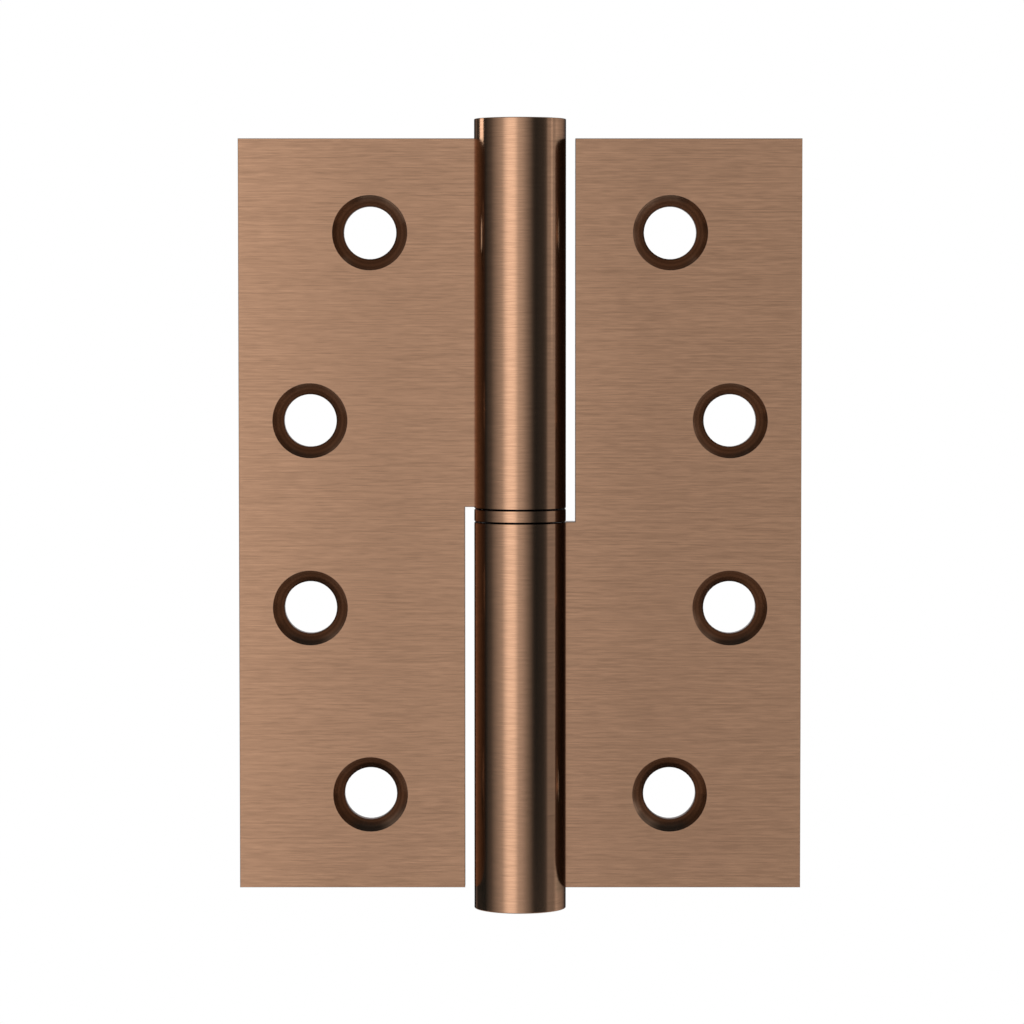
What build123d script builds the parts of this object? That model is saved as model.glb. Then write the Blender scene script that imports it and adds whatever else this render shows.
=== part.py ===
from build123d import *
from math import atan2, degrees, radians, sqrt, tan
import os

# Lift-off butt hinge for a room door, drawn as it lies open flat. All sizes are in millimetres.
# The pin's axis is Z, and the origin is on it, half way up the hinge.
# The side with the screw heads faces -Y. The side that lies on the timber faces +Y.
# The door leaf is on -X and carries the upper barrel, which drops over the pin.
# The frame leaf is on +X and carries the lower barrel, which holds the pin.

# Leaves. With the hinge closed, the two leaves lie parallel, this gap apart.
leaf_height = 100.0
open_width = 75.0
leaf_thickness = 3.0
closed_gap = 2.4
leaf_edge_break = 0.05

# Barrels. Each stands a little past the end of its leaf, and the other leaf is cut back beside it.
barrel_diameter = 12.2
barrel_overhang = 2.5
barrel_tip_radius = 0.1
barrel_side_clearance = 1.25
web_radius = 0.8

# Thrust washer, which lies between the two barrels and carries the door
washer_thickness = 1.7
washer_bore_clearance = 0.08
thrust_clearance = 0.02
groove_chamfer = 0.13

# Pin, pressed into the frame leaf's barrel, running in the door leaf's barrel
pin_diameter = 6.0
pin_running_clearance = 0.05
pin_tip_clearance = 1.5
pin_nose_length = 1.8
pin_nose_width = 1.0
pin_nose_radius = 0.8
pin_foot_clearance = 0.5
pin_foot_chamfer = 0.5

# Blind bores, drilled from the washer's side. The walls are the solid metal left at the far ends.
door_end_wall = 10.0
frame_end_wall = 20.0
bore_mouth_chamfer = 0.4
drill_point_angle = 118.0

# Screw holes, in rows up each leaf. The end rows stand nearer the barrel than the rows between.
screw_rows = 4
end_row_margin = 12.5
outer_hole_margin = 9.5
end_row_setback = 8.0
screw_hole_diameter = 7.0
countersink_diameter = 10.0
countersink_angle = 90.0

# How far a cutter runs past the face that it enters or leaves
cutter_run_out = 1.0

# Sizes that follow
leaf_reach = open_width / 2
leaf_top = leaf_height / 2
front_y = closed_gap / 2
back_y = front_y + leaf_thickness
barrel_radius = barrel_diameter / 2
barrel_tip = leaf_top + barrel_overhang
barrel_mouth = washer_thickness / 2 + thrust_clearance
tab_end = barrel_mouth + groove_chamfer
slot_edge = barrel_radius + barrel_side_clearance
pin_radius = pin_diameter / 2
door_bore_end = barrel_tip - door_end_wall
frame_bore_end = barrel_tip - frame_end_wall
pin_top = door_bore_end - pin_tip_clearance
pin_foot = frame_bore_end - pin_foot_clearance

# Folded back, the two leaves meet where each has its back edge beside the other's barrel.
# Lifted by more than this, the door leaf's barrel is clear of the pin's nose.
fold_back_limit = 2 * degrees(atan2(slot_edge, back_y))
lift_clear_of_pin = pin_top - barrel_mouth
print(f"the leaves meet at {fold_back_limit:.1f} degrees past open flat")
print(f"the door leaf leaves the pin at {lift_clear_of_pin:.2f} mm")


def turned(*profile):
    """A solid turned about Z from a closed outline of (radius, height) points."""
    outline = Polyline(*[(radius, 0, height) for radius, height in profile], close=True)
    return revolve(make_face(outline), Axis.Z)


def round_edges(solid):
    """A turned solid's circular edges, from the lowest to the highest."""
    return solid.edges().filter_by(GeomType.CIRCLE).sort_by(Axis.Z)


def leaf_plate():
    """The frame leaf's flat part, cut back beside the door leaf's barrel, with broken edges."""
    outline = Polyline(
        (0, -leaf_top),
        (leaf_reach, -leaf_top),
        (leaf_reach, leaf_top),
        (slot_edge, leaf_top),
        (slot_edge, -tab_end),
        (0, -tab_end),
        close=True,
    )
    back_plane = Plane.XZ.offset(-back_y)
    plate = extrude(back_plane * make_face(outline), leaf_thickness)
    face_edges = plate.edges().filter_by(Axis.Y, reverse=True)
    return chamfer(face_edges, leaf_edge_break)


def barrel():
    """The frame leaf's barrel, before it is bored. Its mouth is the upper end, at the washer."""
    blank = Cylinder(barrel_radius, barrel_tip - barrel_mouth, align=(Align.CENTER, Align.CENTER, Align.MAX))
    blank = Pos(0, 0, -barrel_mouth) * blank
    blank = fillet(round_edges(blank)[0], barrel_tip_radius)
    return chamfer(round_edges(blank)[-1], groove_chamfer)


def web():
    """The hollow corner where the leaf's back runs up into the barrel."""
    centre_y = back_y + web_radius
    centre_x = sqrt((barrel_radius + web_radius) ** 2 - centre_y**2)
    share = barrel_radius / (barrel_radius + web_radius)
    section = Polyline(
        (0, front_y),
        (centre_x, front_y),
        (centre_x, back_y),
        (centre_x * share, centre_y * share),
        close=True,
    )
    section = make_face(section) - Pos(centre_x, centre_y) * Circle(web_radius)
    length = leaf_top - tab_end - 2 * leaf_edge_break
    return Pos(0, 0, -leaf_top + leaf_edge_break) * extrude(section, length)


def screw_hole_places():
    """The (x, z) places of the frame leaf's screw holes."""
    pitch = (leaf_height - 2 * end_row_margin) / (screw_rows - 1)
    outer_x = leaf_reach - outer_hole_margin
    places = []
    for row in range(screw_rows):
        is_end_row = row in (0, screw_rows - 1)
        x = outer_x - end_row_setback if is_end_row else outer_x
        places.append((x, leaf_top - end_row_margin - row * pitch))
    return places


def screw_hole_cutter():
    """A drill with its countersink, pointing along +Y, with its tip side past the leaf's back."""
    hole_radius = screw_hole_diameter / 2
    sink_radius = countersink_diameter / 2
    slope = tan(radians(countersink_angle / 2))
    sink_depth = (sink_radius - hole_radius) / slope
    drill = turned(
        (0, -cutter_run_out),
        (sink_radius + cutter_run_out * slope, -cutter_run_out),
        (hole_radius, sink_depth),
        (hole_radius, leaf_thickness + cutter_run_out),
        (0, leaf_thickness + cutter_run_out),
    )
    return Rot(-90, 0, 0) * drill


def bore_cutter(radius, end):
    """A drill that enters a barrel's mouth from above and cuts at full width down to z = -end."""
    point_length = radius / tan(radians(drill_point_angle / 2))
    mouth_radius = radius + bore_mouth_chamfer
    return turned(
        (0, -barrel_mouth + cutter_run_out),
        (mouth_radius + cutter_run_out, -barrel_mouth + cutter_run_out),
        (mouth_radius, -barrel_mouth),
        (radius, -barrel_mouth - bore_mouth_chamfer),
        (radius, -end),
        (0, -end - point_length),
    )


def hinge_leaf(bore_radius, bore_end):
    """A leaf with its barrel, in the frame leaf's place."""
    leaf = leaf_plate() + barrel() + web()
    leaf -= bore_cutter(bore_radius, bore_end)
    for x, z in screw_hole_places():
        leaf -= Pos(x, front_y, z) * screw_hole_cutter()
    return leaf


def frame_leaf():
    """The leaf that is screwed to the door frame. Its bore is the pin's own size, for the press fit."""
    return hinge_leaf(pin_radius, frame_bore_end)


def door_leaf():
    """The leaf that is screwed to the door: the same shape turned half way round about Y."""
    return Rot(0, 180, 0) * hinge_leaf(pin_radius + pin_running_clearance, door_bore_end)


def hinge_pin():
    """The pin, with a tapered and rounded nose that leads it into the door leaf's barrel."""
    pin = turned(
        (0, -pin_foot),
        (pin_radius - pin_foot_chamfer, -pin_foot),
        (pin_radius, -pin_foot + pin_foot_chamfer),
        (pin_radius, pin_top - pin_nose_length),
        (pin_radius - pin_nose_width, pin_top),
        (0, pin_top),
    )
    return fillet(round_edges(pin)[-2:], pin_nose_radius)


def thrust_washer():
    """The ring between the barrels, as wide as they are, with a groove's edge on each face."""
    outer_radius = barrel_radius
    inner_radius = pin_radius + washer_bore_clearance
    height = washer_thickness / 2
    return turned(
        (inner_radius + groove_chamfer, -height),
        (outer_radius - groove_chamfer, -height),
        (outer_radius, -height + groove_chamfer),
        (outer_radius, height - groove_chamfer),
        (outer_radius - groove_chamfer, height),
        (inner_radius + groove_chamfer, height),
        (inner_radius, height - groove_chamfer),
        (inner_radius, -height + groove_chamfer),
    )


nodes = {
    "frame_leaf": frame_leaf,
    "door_leaf": door_leaf,
    "hinge_pin": hinge_pin,
    "thrust_washer": thrust_washer,
}

os.makedirs("parts", exist_ok=True)
for name, make in nodes.items():
    export_step(make(), f"parts/{name}.step")
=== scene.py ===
# %% [markdown]
# # A lift-off door hinge in brushed bronze
#
# The hinge has four solid pieces, and their shapes come finished from the CAD frame: two leaves, each
# one piece with its barrel, a thrust washer between the barrels, and a steel pin inside them. Nothing
# on it is soft, so no piece is modelled again here. What Blender adds is the metal: brushing that
# catches the light, turned rings on the barrels' ends, and painted shade in the countersinks, in the
# grooves, on the barrels' sides beside the leaves and across the leaves' middles.
#
# Loading the frame first, and leaving its meshes alone, keeps every piece where the joints expect it.

from math import cos, pi, radians, sin

import bpy
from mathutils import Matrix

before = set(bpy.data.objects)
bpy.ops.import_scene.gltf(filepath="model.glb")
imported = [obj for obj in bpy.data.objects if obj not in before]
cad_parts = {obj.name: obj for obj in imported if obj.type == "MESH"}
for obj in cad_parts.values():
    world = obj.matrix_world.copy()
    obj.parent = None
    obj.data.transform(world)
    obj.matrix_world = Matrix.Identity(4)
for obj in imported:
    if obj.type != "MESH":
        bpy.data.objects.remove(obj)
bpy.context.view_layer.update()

# %% [markdown]
# ## Small helpers for shader nodes
#
# A material is a tree of nodes. Written out in full, each node takes four or five lines, which hides
# the idea. A few helpers keep it short: one adds a node and sets its options and sockets, and the
# next ones make the sums and blends that come up again and again.


# %% Add a node
def add(tree, kind, options=None, **sockets):
    """Add a node. A socket given another node's output is linked to it, any other value is set.

    A socket goes by its name, or by i and its number where the node repeats a name.
    """
    node = tree.nodes.new("ShaderNode" + kind)
    for option, value in (options or {}).items():
        setattr(node, option, value)
    for key, value in sockets.items():
        slot = node.inputs[int(key[1:])] if key[1:].isdigit() else node.inputs[key.replace("_", " ")]
        if isinstance(value, bpy.types.NodeSocket):
            tree.links.new(value, slot)
        else:
            slot.default_value = value
    return node


# %% Sums and blends of numbers
def calc(tree, operation, *values):
    """A Math node's result. Values are numbers or sockets."""
    sockets = {f"i{place}": value for place, value in enumerate(values)}
    return add(tree, "Math", {"operation": operation}, **sockets).outputs[0]


def vector_calc(tree, operation, **sockets):
    """A Vector Math node's vector result."""
    return add(tree, "VectorMath", {"operation": operation}, **sockets).outputs[0]


def hypotenuse(tree, one_side, other_side):
    """The length of the line across two sides that meet square."""
    square = calc(tree, "MULTIPLY", one_side, one_side)
    return calc(tree, "SQRT", calc(tree, "MULTIPLY_ADD", other_side, other_side, square))


def mix_number(tree, share, first, second):
    """A number that goes from the first to the second as the share goes from nought to one."""
    return add(tree, "Mix", {"data_type": "FLOAT"}, i0=share, i2=first, i3=second).outputs[0]


def ramp_number(tree, value, start, end, low=0.0, high=1.0):
    """A number that goes from low to high while the value goes from start to end, and stays there."""
    node = add(tree, "MapRange", {"clamp": True}, i0=value, i1=start, i2=end, i3=low, i4=high)
    return node.outputs[0]


# %% [markdown]
# ## Node groups
#
# A group is worth having when more than one material uses the same effect: it is built once, and each
# material gives it its own numbers. It has named inputs and outputs. What the groups here put out is
# plain numbers that change over the surface: how high a line stands, or whether a place lies within
# some part of the hinge.


# %% Make a node group
def new_group(name, inputs, outputs):
    """A node group. An input is given as its name, kind and value, and an output as its name.

    Returns the group, its inputs and its output node.
    """
    group = bpy.data.node_groups.new(name, "ShaderNodeTree")
    for title, kind, value in inputs:
        socket = group.interface.new_socket(title, in_out="INPUT", socket_type="NodeSocket" + kind)
        if value is not None:
            socket.default_value = value
    for title in outputs:
        group.interface.new_socket(title, in_out="OUTPUT", socket_type="NodeSocketFloat")
    start = group.nodes.new("NodeGroupInput")
    end = group.nodes.new("NodeGroupOutput")
    return group, start.outputs, end


# %% [markdown]
# ## Brushed and turned lines
#
# The leaves are brushed along their width and the barrels are turned, so on both the fine lines run
# level: round the barrel, and across the leaf. A line is about a seventh of a millimetre thick and a
# few millimetres long. An image of brushed metal could give that, but it would have to be wrapped
# round the barrel. Noise stretched in space needs no wrapping: it changes fast going up the hinge and
# slowly going along a level line.
#
# On the barrels' ends the lines are rings. There the height stays the same and the radius changes, so
# adding the radius to the height draws rings on the ends and leaves the sides as they were. A lathe
# leaves a fainter, slightly coarser line than the brush, and the brush leaves longer scratches as well,
# so the leaves get a second, more stretched noise.

# %% Level lines: the group and its numbers
BARREL_RADIUS = 0.0061
BARREL_EDGE = BARREL_RADIUS + 0.00004
FINE_LINES = 7000.0
FINE_RUNS = 420.0
LONG_SHARE = 0.45
LONG_STRETCH = (0.12, 0.12, 0.9)
LONG_START = (31.0, 17.0, 53.0)
TURNED_CONTRAST = 0.5
TURNED_SCALE = 0.83
NOISE_LOW = 0.3
NOISE_HIGH = 0.7

lines_group, given, result = new_group(
    "Level lines",
    [
        ("Position", "Vector", None),
        ("Lines per metre", "Float", FINE_LINES),
        ("Runs per metre", "Float", FINE_RUNS),
        ("Long share", "Float", LONG_SHARE),
        ("Turned contrast", "Float", TURNED_CONTRAST),
    ],
    ["Lines", "Turned"],
)

# %% Level lines: which way they run
group = lines_group
split = add(group, "SeparateXYZ", i0=given["Position"]).outputs
radius = hypotenuse(group, split["X"], split["Y"])
turned = calc(group, "LESS_THAN", radius, BARREL_EDGE)
brushed = calc(group, "SUBTRACT", 1.0, turned)
level = calc(group, "MULTIPLY_ADD", radius, turned, split["Z"])
spot = add(group, "CombineXYZ", X=split["X"], Y=split["Y"], Z=level).outputs[0]
runs = given["Runs per metre"]
stretch = add(group, "CombineXYZ", X=runs, Y=runs, Z=given["Lines per metre"]).outputs[0]
place = vector_calc(group, "MULTIPLY", i0=spot, i1=stretch)
place = vector_calc(group, "SCALE", i0=place, Scale=mix_number(group, turned, 1.0, TURNED_SCALE))

# %% Level lines: short and long ones together
short_lines = add(group, "TexNoise", Vector=place, Scale=1.0, Detail=1.0, Roughness=0.5)
longer = add(group, "Mapping", Vector=place, Location=LONG_START, Scale=LONG_STRETCH)
long_lines = add(group, "TexNoise", Vector=longer.outputs[0], Scale=1.0, Detail=1.0, Roughness=0.5)
long_share = calc(group, "MULTIPLY", given["Long share"], brushed)
both = mix_number(group, long_share, short_lines.outputs["Fac"], long_lines.outputs["Fac"])
spread = add(
    group, "MapRange", {"clamp": False}, i0=both, i1=NOISE_LOW, i2=NOISE_HIGH, i3=-0.5, i4=0.5
)
contrast = calc(group, "MULTIPLY_ADD", turned, given["Turned contrast"], brushed)
lines = calc(group, "MULTIPLY_ADD", spread.outputs[0], contrast, 0.5)
group.links.new(lines, result.inputs["Lines"])
group.links.new(turned, result.inputs["Turned"])
print(group.name, "has", len(group.nodes), "nodes")

# %% [markdown]
# ## Where shade is painted
#
# Shade is painted into the bronze's colour where little light reaches: the countersinks are painted
# dark brown, the grooves beside the washer nearly black, and the barrel's sides beside the leaves a
# little darker. The places are known from the CAD, so each mask is worked out from them: the distance
# to the nearest hole, or a height and a radius. Because the hinge is the same on both leaves and above
# and below its middle, absolute values fold all eight holes on two.
#
# The countersinks were cut by a turning tool, so their lines are rings round each hole: noise that
# changes with the distance to the hole's centre alone.

# %% Recesses: the group and its numbers
HOLE_CENTRES = [(0.020, 0.0375), (0.028, 0.0125)]
SINK_RADIUS = 0.005
LEAF_BACK = 0.0042
LEAF_TOP = 0.050
GROOVE_INNER_RADIUS = 0.00575
GROOVE_HEIGHTS = (0.00072, 0.0010)
CORNER_FRONT = (-0.0040, -0.0036)
FEATHER = 0.00004
LEAF_TOP_FEATHER = 0.0003
RINGS_PER_METRE = 3600.0

recess_group, given, result = new_group(
    "Recesses",
    [("Position", "Vector", None)],
    ["Sink", "Rings", "Groove", "Corner"],
)
group = recess_group
split = add(group, "SeparateXYZ", i0=given["Position"]).outputs
across = calc(group, "ABSOLUTE", split["X"])
height = calc(group, "ABSOLUTE", split["Z"])
before_back = calc(group, "LESS_THAN", split["Y"], LEAF_BACK - FEATHER)

# %% Recesses: the countersinks and their rings
distances = []
for centre_x, centre_z in HOLE_CENTRES:
    side_x = calc(group, "SUBTRACT", across, centre_x)
    side_z = calc(group, "SUBTRACT", height, centre_z)
    distances.append(hypotenuse(group, side_x, side_z))
nearest = calc(group, "MINIMUM", *distances)
in_sink = ramp_number(group, nearest, SINK_RADIUS - FEATHER, SINK_RADIUS + FEATHER, 1.0, 0.0)
group.links.new(calc(group, "MULTIPLY", in_sink, before_back), result.inputs["Sink"])

ring_steps = calc(group, "MULTIPLY", nearest, RINGS_PER_METRE)
noise = add(group, "TexNoise", {"noise_dimensions": "1D"}, W=ring_steps, Scale=1.0, Detail=1.0)
rings = ramp_number(group, noise.outputs["Fac"], NOISE_LOW, NOISE_HIGH)
group.links.new(rings, result.inputs["Rings"])


# %% Recesses: the grooves, and the barrel beside the leaf
def between(tree, value, low, high):
    """One where the value lies between low and high, and nought elsewhere."""
    above = calc(tree, "GREATER_THAN", value, low)
    return calc(tree, "MULTIPLY", above, calc(tree, "LESS_THAN", value, high))


radius = hypotenuse(group, across, split["Y"])
at_groove = between(group, height, *GROOVE_HEIGHTS)
on_rim = between(group, radius, GROOVE_INNER_RADIUS, BARREL_EDGE)
group.links.new(calc(group, "MULTIPLY", at_groove, on_rim), result.inputs["Groove"])

# Mask for the painted shade on the barrel's sides beside the leaves
on_barrel = calc(group, "LESS_THAN", radius, BARREL_EDGE)
beside_leaf = ramp_number(group, split["Y"], *CORNER_FRONT)
beside_leaf = calc(group, "MULTIPLY", beside_leaf, before_back)
feather = (LEAF_TOP - LEAF_TOP_FEATHER, LEAF_TOP + LEAF_TOP_FEATHER)
below_top = ramp_number(group, height, *feather, 1.0, 0.0)
in_corner = calc(group, "MULTIPLY", calc(group, "MULTIPLY", on_barrel, beside_leaf), below_top)
group.links.new(in_corner, result.inputs["Corner"])
print(group.name, "has", len(group.nodes), "nodes and covers", 4 * len(HOLE_CENTRES), "countersinks")

# %% [markdown]
# ## Light bronze
#
# The finish is metal all through to the eye, so it is a Principled BSDF with Metallic at 1, and its
# base colour is what a white card would look like reflected in it. The lines change that colour a
# little, lighter on their crests and browner in their valleys. They make the valleys a little rougher
# too, and tilt the surface by a hair's breadth, which draws reflections out up and down as real
# brushing does. The shader's own anisotropy could do that last part, but on a barrel it needs a tangent
# that these meshes don't carry.
#
# The turned barrels are nearly a mirror. The brushed leaves are rougher, so they show the studio as
# soft light and shade. Shade is also painted across each leaf: a ramp on the distance from the pin's
# axis makes its middle slightly darker than its free edge and the part beside the barrel.
#
# A plain metal turns white at a glancing angle. Brushed bronze doesn't, because its lines shade one
# another there, and the shader's Specular Tint holds that edge back.

# %% The bronze's colours and roughness
BRONZE_LIGHT = (0.438, 0.250, 0.1555, 1.0)
BRONZE_BROWN = (0.292, 0.1655, 0.1025, 1.0)
# Painted shade on the barrel's sides beside the leaves
CORNER_SHADE = (0.80, 0.85, 0.85, 1.0)
# Painted shade in the countersinks, lighter on the turned rings' crests and darker in their valleys
SINK_SHADE_CREST = (0.275, 0.172, 0.116, 1.0)
SINK_SHADE_VALLEY = (0.20, 0.124, 0.083, 1.0)
# Painted shade in the grooves beside the washer, nearly black
GROOVE_SHADE = (0.04, 0.03, 0.025, 1.0)
BRONZE_EDGE_TINT = (0.54, 0.50, 0.50, 1.0)
SINK_ROUGHNESS = 0.17
LINE_HEIGHT = 0.000002
BRONZE_LINE_STRENGTH = 0.3

# Roughness in a line's valley and on its crest
BRUSHED_ROUGHNESS = (0.21, 0.16)
TURNED_ROUGHNESS = (0.15, 0.11)

# Painted shade across the leaf: how bright it is at distances in millimetres from the pin's axis
LEAF_SHADE_LEVELS = [(0, 1.0), (8, 0.925), (17.5, 0.864), (26, 0.890), (37, 0.934)]
LEAF_SHADE_REACH = 40
MILLIMETRES = 1000


# %% Helpers for a material
WHITE = (1.0, 1.0, 1.0, 1.0)


def new_material(name):
    """A material with nothing in it. Returns the material and its tree."""
    material = bpy.data.materials.new(name)
    material.use_nodes = True
    material.node_tree.nodes.clear()
    return material, material.node_tree


def show(tree, shader):
    """Make this shader the material's surface."""
    tree.links.new(shader.outputs[0], add(tree, "OutputMaterial").inputs["Surface"])


def mix_colour(tree, share, first, second, blend="MIX"):
    """A colour that goes from the first to the second as the share goes from nought to one."""
    node = add(tree, "Mix", {"data_type": "RGBA", "blend_type": blend}, i0=share, i6=first, i7=second)
    return node.outputs[2]


def grey_ramp(tree, share, stops):
    """A ramp of greys, from pairs of a place between nought and one and a level."""
    ramp = add(tree, "ValToRGB", i0=share)
    marks = ramp.color_ramp.elements
    while len(marks) < len(stops):
        marks.new(0.5)
    for mark, (place, level) in zip(marks, stops):
        mark.position = place
        mark.color = (level, level, level, 1.0)
    return ramp.outputs[0]


# %% The metal itself, and its lines
def metal(tree, colour, roughness, streaks, line_strength, edge_tint):
    """A metal shader whose lines tilt the surface a little."""
    tilt = add(tree, "Bump", Strength=line_strength, Distance=LINE_HEIGHT, Height=streaks).outputs[0]
    return add(
        tree,
        "BsdfPrincipled",
        Base_Color=colour,
        Metallic=1.0,
        Roughness=roughness,
        Specular_Tint=edge_tint,
        Normal=tilt,
    )


def level_lines(tree, position, lines_per_metre, runs_per_metre):
    """The group Level lines with its own numbers. Returns its outputs."""
    lines = add(tree, "Group", {"node_tree": lines_group}, Position=position)
    lines.inputs["Lines per metre"].default_value = lines_per_metre
    lines.inputs["Runs per metre"].default_value = runs_per_metre
    return lines.outputs


# %% The bronze material
def bronze(name):
    """A bronze material for a piece that is brushed or turned in level lines."""
    material, tree = new_material(name)
    position = add(tree, "TexCoord").outputs["Object"]
    lines = level_lines(tree, position, FINE_LINES, FINE_RUNS)
    recess = add(tree, "Group", {"node_tree": recess_group}, Position=position).outputs
    streaks = mix_number(tree, recess["Sink"], lines["Lines"], recess["Rings"])

    across = calc(tree, "ABSOLUTE", add(tree, "SeparateXYZ", i0=position).outputs["X"])
    share = calc(tree, "MULTIPLY", across, MILLIMETRES / LEAF_SHADE_REACH)
    stops = [(distance / LEAF_SHADE_REACH, level) for distance, level in LEAF_SHADE_LEVELS]
    # Painted shade across the leaf, darker half way out; the barrels are left as they are
    leaf_shade = mix_colour(tree, lines["Turned"], grey_ramp(tree, share, stops), WHITE)
    # Painted shade on the barrel's sides beside the leaves
    shade = mix_colour(tree, recess["Corner"], WHITE, CORNER_SHADE)
    colour = mix_colour(tree, streaks, BRONZE_BROWN, BRONZE_LIGHT)
    colour = mix_colour(tree, 1.0, colour, leaf_shade, "MULTIPLY")
    colour = mix_colour(tree, 1.0, colour, shade, "MULTIPLY")
    # Painted shade in the countersinks, with their turned rings
    sink_shade = mix_colour(tree, streaks, SINK_SHADE_VALLEY, SINK_SHADE_CREST)
    colour = mix_colour(tree, recess["Sink"], colour, sink_shade)
    # Painted shade in the grooves beside the washer
    colour = mix_colour(tree, recess["Groove"], colour, GROOVE_SHADE)

    brushed = ramp_number(tree, streaks, 0.0, 1.0, *BRUSHED_ROUGHNESS)
    turned = ramp_number(tree, streaks, 0.0, 1.0, *TURNED_ROUGHNESS)
    roughness = mix_number(tree, lines["Turned"], brushed, turned)
    roughness = mix_number(tree, recess["Sink"], roughness, SINK_ROUGHNESS)
    show(tree, metal(tree, colour, roughness, streaks, BRONZE_LINE_STRENGTH, BRONZE_EDGE_TINT))
    return material


leaf_bronze = bronze("leaf_bronze")
washer_bronze = bronze("washer_bronze")
for material in (leaf_bronze, washer_bronze):
    print(material.name, "has", len(material.node_tree.nodes), "nodes")

# %% [markdown]
# ## Ground steel
#
# The pin is ground between centres, so its lines run right round it and are straighter than a turned
# surface's. The group Level lines draws them too, with its own numbers: longer runs do it. The pin
# shows only when the door leaf is lifted, and then as bright steel above the bronze.

# %% The steel material
STEEL_LIGHT = (0.66, 0.66, 0.67, 1.0)
STEEL_GREY = (0.52, 0.52, 0.53, 1.0)
GROUND_LINES = 6000.0
GROUND_RUNS = 60.0
GROUND_ROUGHNESS = (0.22, 0.14)
STEEL_LINE_STRENGTH = 0.4


def steel(name):
    """Ground bright steel, with fine lines round the pin."""
    material, tree = new_material(name)
    position = add(tree, "TexCoord").outputs["Object"]
    streaks = level_lines(tree, position, GROUND_LINES, GROUND_RUNS)["Lines"]
    colour = mix_colour(tree, streaks, STEEL_GREY, STEEL_LIGHT)
    roughness = ramp_number(tree, streaks, 0.0, 1.0, *GROUND_ROUGHNESS)
    show(tree, metal(tree, colour, roughness, streaks, STEEL_LINE_STRENGTH, WHITE))
    return material


pin_steel = steel("pin_steel_ground")
print(pin_steel.name, "has", len(pin_steel.node_tree.nodes), "nodes")

# %% [markdown]
# ## Putting the metals on
#
# A CAD piece keeps its mesh. Only the material in its slot is changed, so the pieces fit as before.

# %% Put the metals on the CAD pieces
finishes = {
    "door_leaf": leaf_bronze,
    "frame_leaf": leaf_bronze,
    "thrust_washer": washer_bronze,
    "hinge_pin": pin_steel,
}
for name, material in finishes.items():
    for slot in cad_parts[name].material_slots:
        slot.material = material
    print(name, "is finished in", material.name)

# %% [markdown]
# ## The studio's tent
#
# A turned barrel is a mirror, and what it shows is the studio, so the studio is most of the picture.
# The hinge stands in a round tent. In front and to the left the cloth is lit brightly from outside,
# which gives the barrel its bright stripe. Black cloth hangs on both sides of that, which gives the
# dark bands. There is a paler stretch to the right, and there are dim ones behind, which light the
# leaves' backs. Flat lamps and cards could be put round the hinge one by one, but one round wall whose
# glow changes with the angle is easier to tune: what shows at some place on the barrel comes from twice
# that place's angle round the wall.
#
# The wall is a circle that is extruded upwards, and the ceiling is more rings, drawn in to a point. To
# camera rays it is plain white paper, so the background stays white whatever the metal reflects.

# %% The tent's wall and ceiling
TENT_RADIUS = 1.15
FLOOR_HEIGHT = -0.30
WALL_TOP = 0.36
CEILING_RINGS = [(1.10, 0.48), (0.95, 0.62), (0.65, 0.76), (0.30, 0.84), (0.001, 0.86)]
TENT_SIDES = 180

bpy.ops.object.select_all(action="DESELECT")
bpy.ops.mesh.primitive_circle_add(
    vertices=TENT_SIDES, radius=TENT_RADIUS, location=(0, 0, FLOOR_HEIGHT)
)
tent = bpy.context.object
tent.name = "studio_tent"
bpy.ops.object.transform_apply(location=True)
bpy.ops.object.mode_set(mode="EDIT")
bpy.ops.mesh.select_all(action="SELECT")
ring_radius, ring_height = TENT_RADIUS, FLOOR_HEIGHT
for next_radius, next_height in [(TENT_RADIUS, WALL_TOP)] + CEILING_RINGS:
    rise = (0, 0, next_height - ring_height)
    bpy.ops.mesh.extrude_region_move(TRANSFORM_OT_translate={"value": rise})
    size = next_radius / ring_radius
    bpy.ops.transform.resize(value=(size, size, 1.0))
    ring_radius, ring_height = next_radius, next_height
bpy.ops.object.mode_set(mode="OBJECT")
bpy.ops.object.shade_smooth()
print("the tent has", len(tent.data.polygons), "faces")

# %% [markdown]
# ## The cloth's glow
#
# The angle round the hinge picks a level from a ramp. Each level is how bright the barrel should look
# there, and PLAIN turns it into light, so that the leaves, which face the front, render about as their
# base colour is written. The glow rises a little with height, and more so on the paler stretch at the
# right, which is like a card lit from above. At its foot the wall is as pale as the floor, and above it
# gives way to a dim ceiling, which is darkest overhead. Black cloth is never quite black, so a little
# cool haze is added everywhere.

# %% The glow's levels
PLAIN = 1.75
COOL_HAZE = (0.0, 0.006, 0.010)
HEIGHT_GAIN = 0.06
HEIGHT_SLOPE = 0.20
CARD_SLOPE = 1.15
WALL_FOOT = 0.50
CEILING = 0.20
ZENITH = 0.03

# Angles in degrees round the hinge, 0 straight in front of it and 90 on its right, with the level
GLOW = [
    (-175, 0.40), (-168, 0.03), (-152, 0.03), (-148, 0.20), (-142, 0.20), (-137, 0.05),
    (-97, 0.018), (-88, 0.062), (-78, 0.10), (-61, 0.32), (-45, 0.53), (-36, 1.02),
    (-29, 1.26), (-18, 1.26), (-13, 1.16), (-7, 0.78), (-4, 0.61), (4, 0.535),
    (17, 0.28), (33, 0.05), (40, 0.025), (60, 0.045), (69, 0.09), (75, 0.33),
    (96, 0.33), (104, 0.54), (112, 0.44), (134, 0.33), (148, 0.15), (160, 0.04),
    (169, 0.04), (175, 0.40),
]
HALF_TURN = 180

# The angles between which the card begins, and those between which it ends
CARD_START = (68, 73)
CARD_END = (93, 99)

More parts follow.
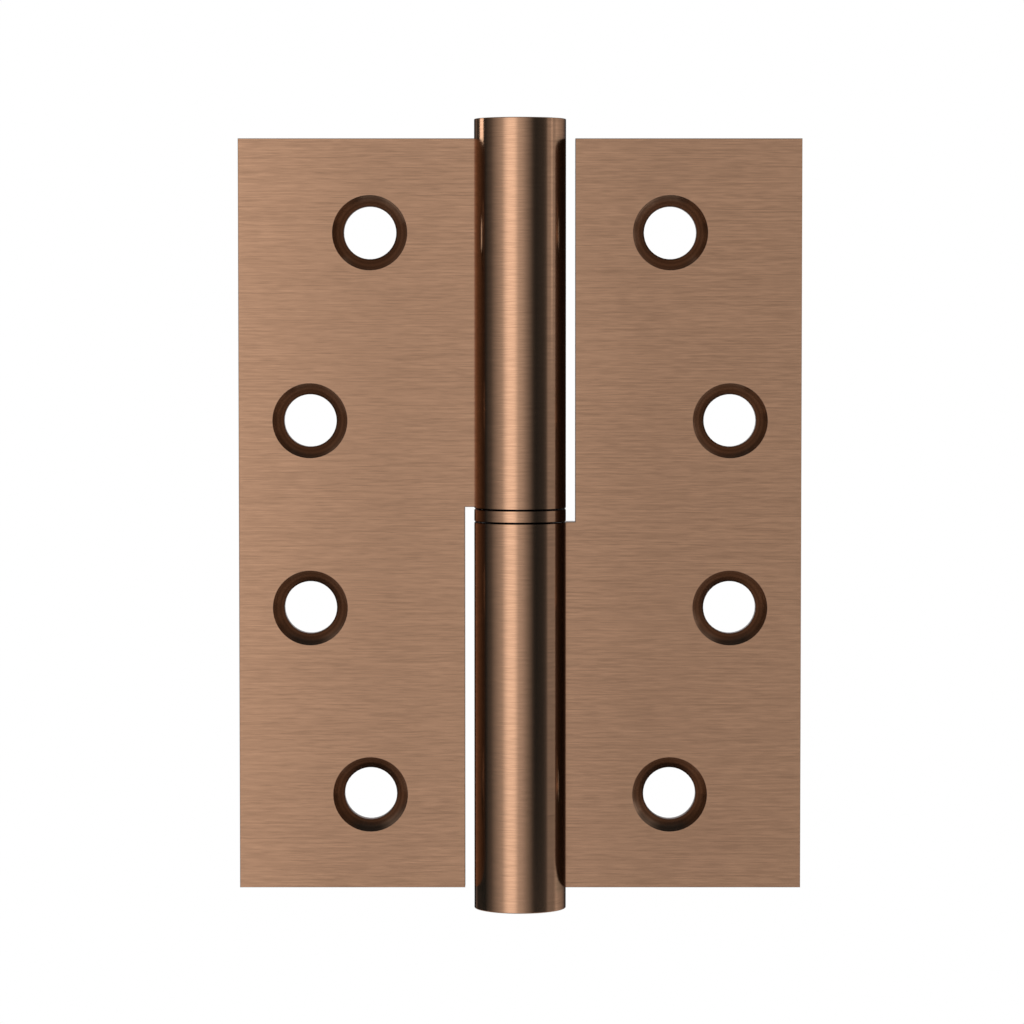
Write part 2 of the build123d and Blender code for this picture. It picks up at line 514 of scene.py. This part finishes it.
# The heights between which the wall leaves its pale foot, turns into ceiling, and nears the zenith
FOOT_HEIGHTS = (FLOOR_HEIGHT, -0.265)
CEILING_HEIGHTS = (0.30, 0.55)
ZENITH_HEIGHTS = (0.74, 0.83)


# %% The tent's cloth
def white_to_camera(tree, colour):
    """A glowing surface that gives this light, and is plain white where the camera sees it."""
    seen = add(tree, "LightPath").outputs["Is Camera Ray"]
    show(tree, add(tree, "Emission", Color=mix_colour(tree, seen, colour, WHITE), Strength=1.0))


def angle_mask(tree, angle, limits):
    """Nought up to the first angle and one from the second, both in degrees."""
    return ramp_number(tree, angle, *(radians(limit) for limit in limits))


cloth, tree = new_material("tent_cloth")
split = add(tree, "SeparateXYZ", i0=add(tree, "TexCoord").outputs["Object"]).outputs
height = split["Z"]
angle = calc(tree, "ARCTAN2", split["X"], calc(tree, "MULTIPLY", split["Y"], -1.0))
stops = [((turn + HALF_TURN) / (2 * HALF_TURN), level) for turn, level in GLOW]
glow = grey_ramp(tree, ramp_number(tree, angle, -pi, pi), stops)

on_card = angle_mask(tree, angle, CARD_START)
past_card = angle_mask(tree, angle, CARD_END)
slope = mix_number(tree, calc(tree, "SUBTRACT", on_card, past_card), HEIGHT_SLOPE, CARD_SLOPE)
glow = calc(tree, "MULTIPLY", glow, calc(tree, "MULTIPLY_ADD", height, slope, 1.0))
glow = calc(tree, "MULTIPLY_ADD", height, HEIGHT_GAIN, glow)
glow = calc(tree, "MAXIMUM", glow, 0.0)

glow = mix_number(tree, ramp_number(tree, height, *FOOT_HEIGHTS), WALL_FOOT, glow)
overhead = ramp_number(tree, height, *ZENITH_HEIGHTS, CEILING, ZENITH)
glow = mix_number(tree, ramp_number(tree, height, *CEILING_HEIGHTS), glow, overhead)
light = vector_calc(tree, "ADD", i0=glow, i1=COOL_HAZE)
white_to_camera(tree, vector_calc(tree, "SCALE", i0=light, Scale=PLAIN))
tent.data.materials.append(cloth)
print("the cloth's glow has", len(GLOW), "levels, the brightest", max(level for _, level in GLOW))

# %% [markdown]
# ## Two strip lights
#
# Near its top the barrel has a narrow bright line at its left edge and a fainter one at its right.
# They are sharper than cloth would give, so two upright strips stand before the wall. Each is a plane,
# turned to face the hinge, with its foot above the hinge's middle, so the lines end on their way down.

# %% The strips
STRIP_DISTANCE = 1.0
STRIP_FOOT = 0.02
STRIP_TOP = 0.36


def strip_light(name, centre, width, level):
    """An upright strip: its centre and width in degrees round the hinge, and its level."""
    turn = radians(centre)
    across = 2 * STRIP_DISTANCE * sin(radians(width / 2))
    bpy.ops.object.select_all(action="DESELECT")
    bpy.ops.mesh.primitive_plane_add(size=1.0)
    strip = bpy.context.object
    strip.name = name
    strip.scale = (across, STRIP_TOP - STRIP_FOOT, 1.0)
    strip.rotation_euler = (radians(90), 0, turn)
    strip.location = (
        STRIP_DISTANCE * sin(turn),
        -STRIP_DISTANCE * cos(turn),
        (STRIP_TOP + STRIP_FOOT) / 2,
    )
    bpy.ops.object.transform_apply(location=True, rotation=True, scale=True)
    material, tree = new_material(name + "_glow")
    glow = level * PLAIN
    white_to_camera(tree, (glow, glow, glow, 1.0))
    strip.data.materials.append(material)
    print(name, "is", round(MILLIMETRES * across), "mm wide")


strip_light("studio_strip_left", centre=-113.2, width=15.5, level=1.7)
strip_light("studio_strip_right", centre=87, width=6, level=0.64)

# %% [markdown]
# ## The floor
#
# The floor is a disc of pale paper. It has a light of its own for the camera, which makes it white
# without more light on the object, and leaves its shadows. That light grows towards the wall, so the
# floor fades into it with no line between them. Polished metal shows some light on the floor too, but
# not on the paper right under the hinge, which the countersinks look down on and the hinge shades.

# %% The floor
FLOOR_PAPER = (0.82, 0.82, 0.81, 1.0)
FLOOR_LIGHT = (0.60, 1.0)
FLOOR_FADE = (0.55, 1.10)
MIRRORED_LIGHT = 0.50
UNDER_HINGE = (0.15, 0.25)

bpy.ops.object.select_all(action="DESELECT")
bpy.ops.mesh.primitive_circle_add(
    vertices=TENT_SIDES, radius=TENT_RADIUS, fill_type="NGON", location=(0, 0, FLOOR_HEIGHT)
)
floor = bpy.context.object
floor.name = "studio_floor"
bpy.ops.object.transform_apply(location=True)

paper, tree = new_material("floor_paper")
split = add(tree, "SeparateXYZ", i0=add(tree, "TexCoord").outputs["Object"]).outputs
from_middle = hypotenuse(tree, split["X"], split["Y"])
rays = add(tree, "LightPath").outputs
seen = ramp_number(tree, from_middle, *FLOOR_FADE, *FLOOR_LIGHT)
mirrored = ramp_number(tree, from_middle, *UNDER_HINGE, 0.0, MIRRORED_LIGHT)
mirrored = calc(tree, "MULTIPLY", mirrored, rays["Is Glossy Ray"])
strength = calc(tree, "MULTIPLY_ADD", seen, rays["Is Camera Ray"], mirrored)
matt = add(tree, "BsdfDiffuse", Color=FLOOR_PAPER)
own_light = add(tree, "Emission", Color=WHITE, Strength=strength)
show(tree, add(tree, "AddShader", i0=matt.outputs[0], i1=own_light.outputs[0]))
floor.data.materials.append(paper)
print("the floor is", 2 * TENT_RADIUS, "m wide and lies", -FLOOR_HEIGHT, "m below the hinge's middle")

# %% [markdown]
# ## The world and the camera
#
# The tent is closed, so the world lights nothing. It is set to plain white all the same, for a view
# from outside the tent.
#
# The camera stands straight in front, 26 mm above the hinge's middle, with a long lens, so the leaves
# look flat and the lower holes show more of the lower sides of their countersinks. It is tilted down by
# the angle that puts the hinge where the photograph has it. The small shift to the side is the
# photograph's own framing, which has the hinge a little right of the middle.

# %% The world
world = bpy.data.worlds.new("studio_world")
bpy.context.scene.world = world
world.use_nodes = True
tree = world.node_tree
tree.nodes.clear()
background = add(tree, "Background", Color=WHITE, Strength=1.0)
tree.links.new(background.outputs[0], add(tree, "OutputWorld").inputs["Surface"])
print("the world has", len(tree.nodes), "nodes")

# %% The camera
CAMERA_PLACE = (0.0, -0.5404, 0.0264)
LENS = 142.95
TILT_DOWN = 2.7555
SHIFT = -0.0079
NEAREST_SEEN = 0.01
FARTHEST_SEEN = 20.0

bpy.ops.object.select_all(action="DESELECT")
bpy.ops.object.camera_add(location=CAMERA_PLACE, rotation=(radians(90 - TILT_DOWN), 0.0, 0.0))
camera = bpy.context.object
bpy.context.scene.camera = camera
camera.data.lens = LENS
camera.data.shift_x = SHIFT
camera.data.clip_start = NEAREST_SEEN
camera.data.clip_end = FARTHEST_SEEN
bpy.context.scene.view_settings.view_transform = "Standard"
print("the camera stands", round(camera.location.length, 3), "m from the hinge's middle")
